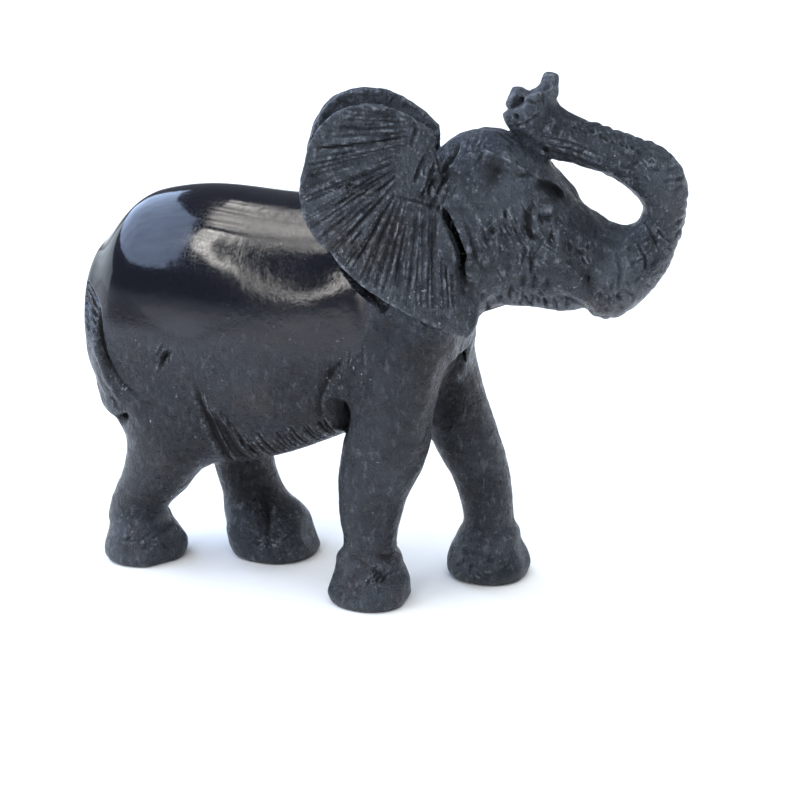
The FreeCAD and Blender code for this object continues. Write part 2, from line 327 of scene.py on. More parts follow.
def value_noise(points, size, seed):
    """Smooth noise between -1 and 1 whose lumps are about size mm across."""
    lattice = np.random.default_rng(seed).uniform(-1, 1, (LATTICE,) * 3).astype(np.float32)
    scaled = points / np.asarray(size, np.float32)
    cell = np.floor(scaled).astype(int)
    f = scaled - cell
    f = f * f * (3 - 2 * f)
    total = np.zeros(len(points), np.float32)
    for corner in np.ndindex(2, 2, 2):
        weight = np.prod([f[:, k] if corner[k] else 1 - f[:, k] for k in range(3)], 0)
        spot = [(cell[:, k] + corner[k]) % LATTICE for k in range(3)]
        total += weight * lattice[tuple(spot)]
    return total


def step(values, low, high):
    """0 below low, 1 above high and smooth between."""
    t = np.clip((values - low) / (high - low), 0, 1)
    return t * t * (3 - 2 * t)


def is_in(regions, *nodes):
    """Which points belong to any of some nodes."""
    return np.isin(regions, [CAD_NODES.index(node) for node in nodes])


def both_sides(make):
    """The strokes that make(side) gives, on the right and on the left."""
    return [stroke for side in (RIGHT, LEFT) for stroke in make(side)]


def head_cuts(side):
    """The deep modelling of the face, in the head's own frame."""
    def cut(points, width, depth, **more):
        """A cut on this side of the head."""
        return Stroke(points, width, depth, side=side, head=True, **more)

    return [
        cut([(22.4, 97.0), (24.8, 91.6), (26.6, 86.0), (27.0, 77.5)], 3.4, 0.6),  # behind the cheek
        cut([(20.8, 96.4), (23.4, 91.2), (25.4, 85.8), (26.2, 76.5)], 1.2, 1.5),
        cut([(25.0, 95.4), (27.0, 91.0), (28.3, 86.6), (28.4, 81.0)], 0.9, 0.8),
        cut([(30.2, 105.6), (32.4, 104.0), (32.0, 100.6)], 3.6, 1.5),  # temple hollow
        cut([(28.6, 108.2), (34.3, 107.2), (37.8, 105.4), (40.8, 103.4)], 1.2, -0.8),  # brow
        cut([(41.0, 101.4), (44.6, 98.9), (46.4, 97.0)], 2.1, 1.5),  # socket above the eye
        cut([(41.0, 97.6), (39.6, 94.4), (40.2, 90.8), (42.6, 89.6)], 1.3, 1.1),  # round the eye
        cut([(42.2, 94.2), (45.0, 94.6)], 1.5, 1.1),  # the eye itself
        cut([(42.6, 102.4), (46.6, 99.2), (50.0, 95.6)], 0.9, -0.7),  # edge above the eye
        cut([(27.6, 85.0), (27.8, 79.5)], 3.0, -1.6),  # closes the gap under the ear's root
        cut([(24.8, 98.4), (29.5, 93.4), (33.6, 89.0), (36.0, 86.0)], 1.8, -0.7),  # cheekbone
        cut([(44.8, 91.6), (45.0, 88.6)], 1.0, 0.9),
        cut([(45.8, 75.4), (49.4, 74.6), (52.6, 72.6)], 1.3, 0.7),  # corner of the mouth
        cut([(47.6, 88.0), (52.4, 82.0), (54.8, 75.6)], 2.2, 0.6),  # cheek to trunk
        cut([(36.0, 111.4), (42.0, 108.0), (48.0, 105.8), (56.0, 103.4)], 1.3, 0.6),  # flat under the arch
    ]


def tip_fill():
    """The web of wood between the two fingers of the trunk's tip."""
    place = {"side": BOTH, "head": True}
    return [
        Stroke([(36.0, 119.2), (39.0, 119.4), (41.6, 120.6)], 2.0, -1.3, **place),
        Stroke([(34.4, 117.6), (35.6, 120.2)], 1.8, -0.8, **place),
        Stroke([(43.0, 121.0), (43.6, 123.0)], 1.8, -0.5, **place),
        Stroke([(33.2, 115.8), (34.2, 118.0), (35.4, 119.4)], 1.6, -0.9, **place),
    ]


def body_cuts():
    """The deep creases of the body and the legs, in the figure's frame, and three in the right cheek."""
    return [
        Stroke([(38.9, 81.4), (38.8, 77.8)], 1.2, 0.8, head=True),
        Stroke([(41.2, 80.8), (41.0, 77.0)], 1.2, 0.8, head=True),
        Stroke([(44.2, 81.0), (44.0, 77.4)], 1.2, 0.7, head=True),
        # The hollow between the right thigh and the belly.
        Stroke([(-33.8, 51.0), (-32.4, 42.0), (-31.6, 33.0), (-31.8, 26.0)], 1.0, 2.2, sharp=True),
        Stroke([(-31.4, 45.0), (-29.2, 38.0), (-28.6, 28.0)], 3.4, 2.2),
        Stroke([(-28.2, 46.0), (-26.4, 41.0), (-24.6, 35.0), (-23.6, 31.0)], 1.0, 1.0),
        # The pocket behind the right foreleg.
        Stroke([(0.6, 51.0), (0.4, 46.0), (-0.4, 41.0)], 5.2, 2.0, taper=0.3),
        Stroke([(3.0, 62.0), (-1.2, 56.6), (-3.8, 51.0), (-5.4, 42.5)], 0.9, 1.0),
        # The chest, set back behind the front edge of the right foreleg.
        Stroke([(31.4, 69.0), (28.4, 64.0), (26.6, 57.0), (24.8, 49.0), (23.6, 42.0)], 0.9, 0.9),
        Stroke([(26.0, 60.0), (22.6, 52.0), (20.0, 42.0)], 5.0, 3.6, side=BOTH, limits=(-13.0, 6.0)),
        Stroke([(21.4, 50.0), (19.6, 44.0), (18.0, 38.0)], 3.4, 1.2, side=BOTH, limits=(-2.0, 7.5)),
        Stroke([(25.6, 62.0), (24.0, 54.0), (22.6, 46.0), (21.6, 38.0)], 3.0, 1.3, side=BOTH,
               limits=(-19.0, -11.0)),
        Stroke([(26.4, 43.0), (28.6, 38.6), (32.0, 33.0)], 1.0, 0.7, side=BOTH),
        # The tail lies along the rump and ends in a tuft on the thigh.
        Stroke([(-64.8, 68.0), (-62.4, 61.0), (-60.8, 56.0), (-59.0, 50.0), (-54.4, 44.0)], 2.8, -1.3),
        Stroke([(-61.0, 67.5), (-59.6, 60.7), (-57.2, 53.6), (-54.0, 49.4), (-49.0, 46.6)], 1.1, 1.0),
        Stroke([(-58.0, 39.0), (-54.6, 39.6), (-50.6, 41.0)], 3.2, 0.8, taper=0.3),
        # The same two hollows on the left.
        Stroke([(-29.0, 50.0), (-27.4, 42.0), (-27.0, 33.0), (-28.0, 28.0)], 2.2, 1.5, side=LEFT),
        Stroke([(3.4, 53.0), (3.0, 47.0), (2.6, 42.0)], 4.0, 2.4, side=LEFT),
        # The groove down the inner face of the left hind leg, and the ridge beside it.
        Stroke([(-31.8, 28.0), (-29.8, 20.0), (-28.0, 14.0), (-25.4, 7.4), (-23.6, 3.0)], 2.0, 1.6,
               side=BOTH, sharp=True, limits=(-9.0, 4.5)),
        # Toes.
        Stroke([(-52.4, 14.0), (-50.8, 11.6), (-50.4, 8.0)], 1.2, 0.9),
        Stroke([(3.0, 12.6), (6.0, 11.6), (9.6, 9.6), (12.6, 7.0)], 1.0, 0.6, sharp=True),
        Stroke([(9.4, 13.4), (12.6, 11.4), (15.4, 10.6)], 1.2, 0.9),
    ]


def ear_slit():
    """The saw cut that frees the lower edge of the right ear from the shoulder."""
    line = [(-4.6, 88.0), (-0.6, 84.0), (4.4, 78.4), (9.4, 73.4)]
    return Stroke(line, 2.4, 3.2, head=True, taper=0.3)


def scatter(count, centre, spread, angle, length, width, depth, seed, wobble=12.0, **more):
    """Short gouge marks strewn over an oval: centre and spread are (x, z), angle in degrees."""
    rng = np.random.default_rng(seed)
    marks = []
    for _ in range(count):
        offset = rng.normal(0, 0.45, 2) * spread
        turn = math.radians(angle + rng.normal(0, wobble))
        half = length * rng.uniform(0.6, 1.2) / 2
        reach = np.array([math.cos(turn), math.sin(turn)]) * half
        middle = np.array(centre) + offset
        points = [middle - reach, middle + reach]
        marks.append(Stroke(points, width * rng.uniform(0.8, 1.3), depth * rng.uniform(0.6, 1.2), **more))
    return marks


def head_marks(side):
    """Tool marks on the face, in the head's own frame."""
    place = {"side": side, "head": True}
    marks = []
    notches = [(17.4, 108.2, 101.8), (20.4, 108.4, 98.8), (22.0, 107.0, 103.2), (23.5, 109.6, 105.0)]
    for x, top, bottom in notches:
        lean = 0.35 * (top - bottom)
        marks.append(Stroke([(x, top), (x - lean, bottom)], 0.75, 1.0, sharp=True, **place))
    marks += scatter(22, (19.5, 101.0), (5.0, 4.5), 78, 3.6, 0.55, 0.6, 10, sharp=True, **place)
    marks += scatter(16, (39.5, 84.0), (4.5, 4.5), 84, 5.0, 0.6, 0.35, 11, **place)
    marks += scatter(10, (36.0, 91.0), (4.0, 3.0), 120, 4.0, 0.6, 0.3, 12, **place)
    marks += scatter(9, (31.0, 88.0), (3.5, 5.0), 100, 4.5, 0.7, 0.25, 13, **place)
    marks += scatter(10, (27.0, 108.0), (5.0, 3.0), 70, 4.0, 0.7, 0.25, 14, **place)
    marks += scatter(9, (51.0, 86.0), (3.0, 4.0), 115, 2.4, 0.8, 0.45, 15, **place)
    marks += scatter(26, (38.0, 74.0), (10.0, 3.0), 95, 3.0, 0.6, 0.5, 16, **place)
    marks += scatter(44, (40.0, 92.0), (9.0, 8.0), 118, 4.6, 0.5, 0.22, 17, wobble=9, **place)
    marks += scatter(7, (32.0, 91.0), (2.0, 2.6), 50, 3.0, 0.5, 0.4, 18, sharp=True, **place)
    marks += scatter(5, (35.0, 95.0), (1.0, 1.6), 95, 3.2, 0.5, 0.35, 19, sharp=True, **place)
    marks += scatter(12, (37.5, 104.0), (4.0, 2.0), -25, 3.4, 0.7, 0.4, 24, **place)
    marks.append(Stroke([(28.4, 109.0), (33.4, 107.6), (38.4, 104.8), (43.0, 100.4)], 0.6, 0.5, **place))
    marks.append(Stroke([(36.0, 110.2), (41.0, 108.4), (46.6, 104.2)], 0.6, 0.4, **place))
    return marks


def trunk_marks(side):
    """Nicks along the top of the trunk's arch and creases round its bend."""
    place = {"side": side, "head": True}
    marks = []
    rng = np.random.default_rng(20)
    for k in range(14):
        x = 47.0 + 1.5 * k + rng.normal(0, 0.3)
        z = 113.2 - 0.2 * (x - 47.0) - 0.008 * (x - 47.0) ** 2 + rng.normal(0, 0.3)
        marks.append(Stroke([(x - 0.5, z + 0.3), (x + 0.4, z - 0.5)], 0.45, 0.5, sharp=True, **place))
    for k in range(4):  # long grooves down the arch
        z = 111.0 - 1.6 * k
        marks.append(Stroke([(41.0, z), (48.0, z - 1.4), (56.0, z - 4.4)], 0.6, 0.35, **place))
    marks += [
        Stroke([(64.6, 92.2), (67.0, 89.4), (68.6, 86.0)], 0.7, 0.5, **place),
        Stroke([(67.6, 91.4), (69.4, 89.4), (71.0, 88.0)], 0.6, 0.4, **place),
        Stroke([(63.0, 88.6), (65.4, 85.0), (66.2, 81.0)], 0.7, 0.4, **place),
        Stroke([(59.0, 86.0), (60.2, 82.0), (59.8, 78.0)], 0.8, 0.4, **place),
    ]
    marks += scatter(26, (66.0, 84.0), (5.0, 8.0), 60, 2.6, 0.7, 0.3, 21, wobble=30, **place)
    marks += scatter(22, (64.0, 103.0), (7.0, 4.0), -20, 2.6, 0.6, 0.25, 22, wobble=25, **place)
    marks += scatter(16, (59.0, 76.0), (4.0, 4.0), 100, 3.0, 0.7, 0.3, 23, wobble=25, **place)
    return marks


def tip_marks(side):
    """The nostrils and facets of the trunk's tip."""
    place = {"side": side, "head": True}
    return [
        Stroke([(36.0, 115.6), (35.8, 114.4)], 1.0, 1.0, **place),
        Stroke([(36.6, 118.8), (37.2, 117.8)], 0.8, 0.8, **place),
        Stroke([(34.0, 112.4), (38.0, 113.6), (41.6, 116.4)], 0.6, 0.5, **place),
        Stroke([(41.6, 120.8), (42.0, 117.4)], 0.6, 0.5, **place),
        Stroke([(38.0, 118.6), (40.4, 118.0)], 0.7, 0.5, **place),
        Stroke([(44.0, 112.8)], 1.9, -0.7, **place),
        Stroke([(39.4, 113.4)], 2.0, -0.6, **place),
    ]


RIB_ROOTS = [(14.6, 116.0), (13.8, 110.6), (11.6, 105.0), (11.2, 98.6), (16.0, 97.2), (22.0, 95.0)]
RIB_TIPS = [(0.0, 118.0), (-7.0, 107.0), (-7.4, 93.0), (4.0, 82.0), (14.6, 75.0), (24.0, 74.0)]


def along(line, share):
    """The point at a share, 0 to 1, of the way along a line's corners."""
    line = np.asarray(line)
    places = np.linspace(0, 1, len(line))
    return [float(np.interp(share, places, line[:, k])) for k in (0, 1)]


def ear_marks(side):
    """The ribs fanned out over an ear, the ledge they start from, the rim and a worn hollow."""
    place = {"side": side, "head": True}
    rng = np.random.default_rng(40)
    marks = []
    for k in range(44):
        share = (k + rng.uniform(-0.35, 0.35)) / 43
        root, tip = along(RIB_ROOTS, share), along(RIB_TIPS, min(max(share + rng.normal(0, 0.006), 0), 1))
        middle = (np.array(root) + tip) / 2 + rng.normal(0, 0.35, 2)
        width, depth, sharp = rng.uniform(0.4, 0.8), rng.uniform(0.2, 0.65), rng.random() < 0.6
        marks.append(Stroke([root, middle, tip], width, depth, taper=0.25, sharp=sharp, **place))
    for k in range(60):
        share, start = rng.uniform(0, 1), rng.uniform(0, 0.6)
        root, tip = np.array(along(RIB_ROOTS, share)), np.array(along(RIB_TIPS, share))
        line = [root + (tip - root) * start, root + (tip - root) * (start + rng.uniform(0.2, 0.4))]
        marks.append(Stroke(line, rng.uniform(0.35, 0.6), rng.uniform(0.2, 0.5), sharp=True, **place))
    marks += [
        Stroke([(10.6, 99.4), (16.0, 97.8), (22.4, 95.6)], 0.8, 0.4, **place),
        Stroke([(14.6, 116.4), (15.2, 113.0), (14.2, 109.4)], 0.8, 0.7, **place),
        Stroke([(-2.0, 115.0), (3.0, 117.4), (8.4, 117.6), (14.0, 114.6)], 1.0, -0.5, **place),
        Stroke([(-6.6, 104.4), (-4.4, 101.6)], 2.6, 0.7, **place),
    ]
    marks += scatter(16, (4.0, 101.0), (7.0, 4.0), 20, 3.0, 0.7, 0.45, 44, wobble=30, **place)
    return marks


def flank_marks():
    """Short cuts along the belly, on the flank and the feet, and on the tail where it lies on the rump."""
    marks = []
    rng = np.random.default_rng(31)
    for side in (RIGHT, LEFT):
        for k in range(19):  # hair along the belly
            x = -27.0 + 1.25 * k + rng.normal(0, 0.25)
            z = 33.0 + 0.011 * (x + 30.0) ** 2
            hair = [(x, z + rng.uniform(2.0, 6.0)), (x + 0.3, z - 2.5)]
            marks.append(Stroke(hair, 0.65, 1.2, side=side, taper=0.3, sharp=True))
    for k in range(9):  # hair in the hollow of the flank
        x = -32.4 + 1.0 * k
        top = 50.0 - 1.1 * k + rng.normal(0, 1.0)
        marks.append(Stroke([(x, top), (x + 1.2, 36.0), (x + 1.6, 29.0)], 0.5, 0.45))
    for k in range(7):  # hatching on the tail where it lies on the rump
        z = 71.0 - 1.6 * k
        marks.append(Stroke([(-66.6, z + 0.5), (-61.4, z - 3.4)], 0.6, 1.0, taper=0.2, sharp=True))
    marks += [
        Stroke([(-60.8, 67.0), (-59.4, 60.7), (-57.0, 53.8)], 0.8, 0.8, sharp=True),
        Stroke([(-52.0, 41.6), (-47.4, 44.6), (-42.6, 46.6)], 2.4, 0.4),
        Stroke([(-62.6, 55.6), (-60.4, 50.4)], 0.6, 0.6, sharp=True),
        Stroke([(-60.0, 48.4), (-56.8, 44.2)], 0.6, 0.6, sharp=True),
        Stroke([(-58.8, 45.0), (-55.4, 42.2)], 0.6, 0.6, sharp=True),
    ]
    marks += scatter(9, (-42.2, 57.4), (1.8, 3.0), 62, 4.0, 0.6, 0.5, 30, sharp=True)
    marks += scatter(12, (2.6, 60.0), (4.0, 7.0), 80, 5.0, 0.6, 0.25, 32)
    marks += scatter(14, (-54.0, 6.6), (7.0, 3.0), 40, 3.0, 0.7, 0.25, 33, wobble=40)
    marks += scatter(10, (11.0, 8.6), (6.0, 3.0), 48, 3.4, 0.55, 0.5, 34, wobble=25, sharp=True)
    marks += scatter(16, (28.0, 5.0), (7.0, 3.4), 20, 3.4, 0.7, 0.25, 35, wobble=45)
    marks += scatter(12, (-24.0, 6.0), (7.0, 3.4), 20, 3.2, 0.7, 0.25, 36, wobble=45)
    return marks


def tail_marks():
    """The twist of the tail."""
    marks = []
    for k in range(16):
        z = 84.0 - 2.1 * k
        line = [(-76.0, z + 2.4), (-69.8, z - 1.2), (-64.0, z - 5.0)]
        marks.append(Stroke(line, 0.85, 0.9, side=BOTH, taper=0.2, sharp=True))
    return marks


def vertex_normals(points, quads):
    """Unit normals averaged from the quads round each point."""
    a, b, c, d = (points[quads[:, k]] for k in range(4))
    face = np.cross(c - a, d - b)
    total = np.zeros_like(points)
    for corner in range(4):
        for axis in range(3):
            total[:, axis] += np.bincount(quads[:, corner], face[:, axis], len(points))
    return total / np.maximum(np.linalg.norm(total, axis=1, keepdims=True), 1e-9)


def standing_out(points, quads, normals):
    """How far each point stands out from the middle of its neighbours, mm."""
    total, count = np.zeros_like(points), np.zeros(len(points))
    for corner in range(4):
        for neighbour in ((corner + 1) % 4, (corner + 3) % 4):
            count += np.bincount(quads[:, corner], minlength=len(points))
            for axis in range(3):
                values = points[quads[:, neighbour], axis]
                total[:, axis] += np.bincount(quads[:, corner], values, len(points))
    middle = total / np.maximum(count, 1)[:, None]
    return ((points - middle) * normals).sum(1)


def relief_of(strokes, points, normals, chosen):
    """The strokes' depths added up at each chosen point that faces the stroke's side."""
    depth = np.zeros(len(points), np.float32)
    places = {False: (points[:, 0], points[:, 1]), True: to_head(points[:, 0], points[:, 1])}
    facing = {False: normals[:, 1], True: to_head(normals[:, 0] + TURN_X, normals[:, 1])[1]}
    z = points[:, 2]
    for stroke in strokes:
        x = places[stroke.head][0]
        turned = facing[stroke.head] * stroke.side if stroke.side else np.ones_like(z)
        low, high = stroke.points.min(0) - stroke.width, stroke.points.max(0) + stroke.width
        near = (x > low[0]) & (x < high[0]) & (z > low[1]) & (z < high[1])
        hit = np.flatnonzero(near & chosen & (turned > 0.1))
        reach = stroke.across(points[hit, 1]) * step(turned[hit], 0.1, 0.45)
        depth[hit] += stroke.relief(x[hit], z[hit]) * reach
    return depth


def tool_marks(points, normals, regions):
    """How far each point of the surface goes in under the carver's tools."""
    depth = np.zeros(len(points), np.float32)
    facing_head = to_head(normals[:, 0] + TURN_X, normals[:, 1])[1]
    groups = [
        (("head", "lower_jaw", "trunk", "right_ear", "left_ear"), both_sides(head_marks)),
        (("trunk", "trunk_tip"), both_sides(trunk_marks)),
        (("trunk_tip",), both_sides(tip_marks)),
        (("tail",), tail_marks()),
        (("right_ear",), ear_marks(RIGHT)),
        (("left_ear",), ear_marks(LEFT)),
        ([node for node in CAD_NODES if not node.endswith("ear")], flank_marks()),
    ]
    for nodes, strokes in groups:
        depth += relief_of(strokes, points, normals, is_in(regions, *nodes))
    for node, side in (("right_ear", RIGHT), ("left_ear", LEFT)):
        back = np.flatnonzero(is_in(regions, node) & (facing_head * side < 0.0))
        depth[back] += 0.25 + 0.25 * value_noise(points[back], (4.0, 4.0, 1.2), 43)
        depth[back] += 0.2 * value_noise(points[back], 1.3, 45)
    return depth


def polish_of(points, regions):
    """1 on the burnished rump, a little less on the rest of the back and 0 on tool-cut wood."""
    x, z = points[:, 0], points[:, 2]
    wander = 3.0 * value_noise(points, 9.0, 51)
    high = step(z + wander, 54.0, 71.0)
    torso = is_in(regions, POLISHED_NODE).astype(np.float32)
    worn = 1 - 0.17 * step(x + wander, -31.0, -20.0)
    return high * torso * worn * (1 - step(x, 6.0, 12.0))


def dusty_of(points, regions):
    """How dusty the tool marks are: 1 on the face, ears, trunk and feet, and 0.4 low on the forelegs,
    which stay darker towards the top.
    """
    head_x = to_head(points[:, 0], points[:, 1])[0]
    z = points[:, 2]
    wander = 2.0 * value_noise(points, 6.0, 55)
    ears = is_in(regions, "right_ear", "left_ear")
    face = step(head_x + wander, 8.0, 16.0) * step(z + wander, 64.0, 72.0)
    feet = 1 - step(z + wander, 9.0, 17.0)
    # Greyer low on the forelegs and darker towards their tops.
    front = 0.4 * step(points[:, 0] + wander, -4.0, 6.0) * (1 - step(z + wander, 38.0, 50.0))
    return np.maximum.reduce([ears.astype(np.float32), face, feet, front])


def surface_texture(points, regions, polish):
    """Shallow waves that the gouge and the rasp leave everywhere but on the burnished back."""
    carved = is_in(regions, "head", "lower_jaw", "trunk", "trunk_tip", "right_ear", "left_ear")
    rough = np.where(carved, 1.0, 0.45)
    facets = value_noise(points, 3.4, 61) * 0.2 + value_noise(points, 1.5, 62) * 0.16
    broad = value_noise(points, 12.0, 63) * 0.3
    return (facets * rough + broad * 0.5) * (1 - polish) ** 2


def serration(points, normals, regions):
    """The notches cut across the outer edge of the trunk."""
    head_x = to_head(points[:, 0], points[:, 1])[0]
    angle = np.arctan2(points[:, 2] - CURL_CENTRE[1], head_x - CURL_CENTRE[0])
    outward = normals[:, 0] * np.cos(angle) + normals[:, 2] * np.sin(angle)
    trunk = is_in(regions, "trunk") & (head_x > 47.0)
    wave = 0.5 + 0.5 * np.sin(angle * CURL_NOTCHES + 5.0 * value_noise(points, 4.0, 71))
    wave = wave * (0.6 + 0.5 * value_noise(points, 3.0, 72))
    return 0.55 * wave**2 * step(outward, 0.55, 0.9) * trunk


def carve(low, high):
    """The distance field of the merged solids with every deep cut made."""
    field = Field(low, high)
    for node, radius in SOFT_REGIONS.items():
        field.merge(node, CAD_NODES.index(node), radius)
    blur(field.distance, 3)
    for node, radius in CRISP_REGIONS.items():
        field.merge(node, CAD_NODES.index(node), radius)
    for stroke in both_sides(head_cuts) + tip_fill() + body_cuts():
        field.cut(stroke)
    blur(field.distance, 1)
    field.cut(ear_slit(), only=CAD_NODES.index("torso"))
    return field


def sculpt():
    """The whole carving: points, quads, normals, the node index of each point, and its paint."""
    low = (np.array(cad_box[0]) / MM - ORIGIN).astype(np.float32)
    high = (np.array(cad_box[1]) / MM - ORIGIN).astype(np.float32)
    field = carve(low, high)
    points, quads = field.surface()
    regions = field.region_at(points)
    bend = field.bend(points)
    normals = vertex_normals(points, quads)
    polish = polish_of(points, regions)
    depth = tool_marks(points, normals, regions)
    depth += serration(points, normals, regions)
    # The depth of the deep cuts, used below to darken them as painted shade.
    scooped = relief_of(both_sides(head_cuts) + body_cuts(), points, normals, regions >= 0)
    standing = step(points[:, 2], 0.2, 1.5)  # the soles stay flat
    shift = (depth + surface_texture(points, regions, polish)) * standing
    points = points - normals * shift[:, None]
    points[:, 2] = np.maximum(points[:, 2], 0.0)
    points = np.clip(points, low, high)
    normals = vertex_normals(points, quads)
    crest = standing_out(points, quads, normals)
    # Painted shade: the colour is darkened in tool marks, deep cuts, hollows and sunken points.
    groove_shade = 0.6 * np.clip(depth, 0, 1) + 0.45 * np.clip(scooped, 0, 2) + 1.3 * bend
    paint = {
        "polish": polish,
        "dusty": dusty_of(points, regions),
        # Painted shade in cuts and hollows, also used to make them rough.
        "groove_shade": np.clip(groove_shade + 0.5 * step(-crest, 0.01, 0.06), 0, 1),
        # Lighter on convex edges and crests: partly wear, partly painted highlight.
        "edge": np.maximum(step(-bend - 0.25 * depth, 0.12, 0.5), step(crest, 0.012, 0.05)),
    }
    return points, quads, normals, regions, paint


def boundary_loops(faces):
    """Groups of edges that have a face on one side only, each group as (start, end) pairs."""
    edges = np.concatenate([faces[:, [k, (k + 1) % 4]] for k in range(4)])
    keys = np.sort(edges, axis=1)
    _, first, counts = np.unique(keys, axis=0, return_index=True, return_counts=True)
    rim = edges[first[counts == 1]]
    parent = {}

    def root(v):
        """The point that stands for v's group."""
        while parent.setdefault(v, v) != v:
            v = parent[v]
        return v

    for a, b in rim.tolist():
        parent[root(a)] = root(b)
    groups = {}
    for a, b in rim.tolist():
        groups.setdefault(root(a), []).append((a, b))
    return list(groups.values())


def make_piece(name, faces, points, normals, paint):
    """One closed mesh for a node: its part of the skin, and plain caps inside the wood."""
    used, local = np.unique(faces, return_inverse=True)
    faces = local.reshape(-1, 4)
    corners = points[used]
    polygons = faces.tolist()
    extra, extra_source = [], []
    for loop in boundary_loops(faces):
        ring = sorted({v for edge in loop for v in edge})
        inner = {v: len(used) + len(extra) + k for k, v in enumerate(ring)}
        extra += [corners[v] for v in ring]
        extra_source += ring
        hub = len(used) + len(extra)
        extra.append(corners[ring].mean(0) - normals[used][ring].mean(0) * 0.5)
        extra_source.append(ring[0])
        polygons += [[inner[b], inner[a], hub] for a, b in loop]
    everything = np.concatenate([corners, np.array(extra, np.float32).reshape(-1, 3)])
    source = np.concatenate([np.arange(len(used)), np.array(extra_source, int)])
    mesh = bpy.data.meshes.new(name)
    mesh.from_pydata(((everything + ORIGIN) * MM).tolist(), [], polygons)
    mesh.shade_smooth()
    for key, values in paint.items():
        layer = mesh.attributes.new(key, "FLOAT", "POINT")
        layer.data.foreach_set("value", values[used][source].astype(np.float32))
    mesh.normals_split_custom_set_from_vertices(normals[used][source].tolist())
    piece = bpy.data.objects.new(name, mesh)
    bpy.context.scene.collection.objects.link(piece)
    return piece


class Nodes:
    """Short ways to add shader nodes to a material."""

    def __init__(self, name):
        self.material = bpy.data.materials.new(name)
        self.material.use_nodes = True
        self.tree = self.material.node_tree
        self.shader = self.tree.nodes["Principled BSDF"]
        self.position = self.tree.nodes.new("ShaderNodeTexCoord").outputs["Object"]

    def plug(self, value, socket):
        """Gives a socket a value, or a link when the value comes from another node."""
        if isinstance(value, bpy.types.NodeSocket):
            self.tree.links.new(value, socket)
        else:
            socket.default_value = value

    def noise(self, scale, detail=2.0, roughness=0.5, stretch=None, distortion=0.0):
        """Noise from 0 to 1 with scale lumps to the metre, fewer along an axis with a low stretch."""
        node = self.tree.nodes.new("ShaderNodeTexNoise")
        node.inputs["Scale"].default_value = scale
        node.inputs["Detail"].default_value = detail
        node.inputs["Roughness"].default_value = roughness
        node.inputs["Distortion"].default_value = distortion
        place = self.position
        if stretch:
            mapping = self.tree.nodes.new("ShaderNodeMapping")
            mapping.inputs["Scale"].default_value = stretch
            self.tree.links.new(place, mapping.inputs["Vector"])
            place = mapping.outputs["Vector"]
        self.tree.links.new(place, node.inputs["Vector"])
        return node.outputs["Fac"]

    def paint(self, name):
        """A value painted on the mesh."""
        node = self.tree.nodes.new("ShaderNodeAttribute")
        node.attribute_name = name
        return node.outputs["Fac"]

    def ramp(self, value, low, high, to_low=0.0, to_high=1.0):
        """to_low where the value is below low, to_high above high and smooth between."""
        node = self.tree.nodes.new("ShaderNodeMapRange")
        node.interpolation_type = "SMOOTHSTEP"
        for socket, number in zip(node.inputs[1:5], (low, high, to_low, to_high)):
            socket.default_value = number
        self.plug(value, node.inputs["Value"])
        return node.outputs["Result"]

    def math(self, operation, a, b):
        """One sum, product or the like."""
        node = self.tree.nodes.new("ShaderNodeMath")
        node.operation = operation
        self.plug(a, node.inputs[0])
        self.plug(b, node.inputs[1])
        return node.outputs["Value"]

    def mix(self, share, a, b):
        """Colour a where the share is 0 and colour b where it is 1."""
        node = self.tree.nodes.new("ShaderNodeMix")
        node.data_type = "RGBA"
        self.plug(share, node.inputs["Factor"])
        first, second = [socket for socket in node.inputs if socket.type == "RGBA"]
        self.plug(a, first)
        self.plug(b, second)
        return [socket for socket in node.outputs if socket.type == "RGBA"][0]

    def tint(self, colour, share, most, towards):
        """A colour turned towards another: not at all where the share is 0, by most where it is 1."""
        return self.mix(self.math("MULTIPLY", share, most), colour, (*towards, 1))

    def bump(self, height, distance):
        """A normal for a relief that is distance deep, in metres, where the height is 1."""
        node = self.tree.nodes.new("ShaderNodeBump")
        node.inputs["Distance"].default_value = distance
        node.inputs["Strength"].default_value = 1.0
        self.plug(height, node.inputs["Height"])
        return node.outputs["Normal"]


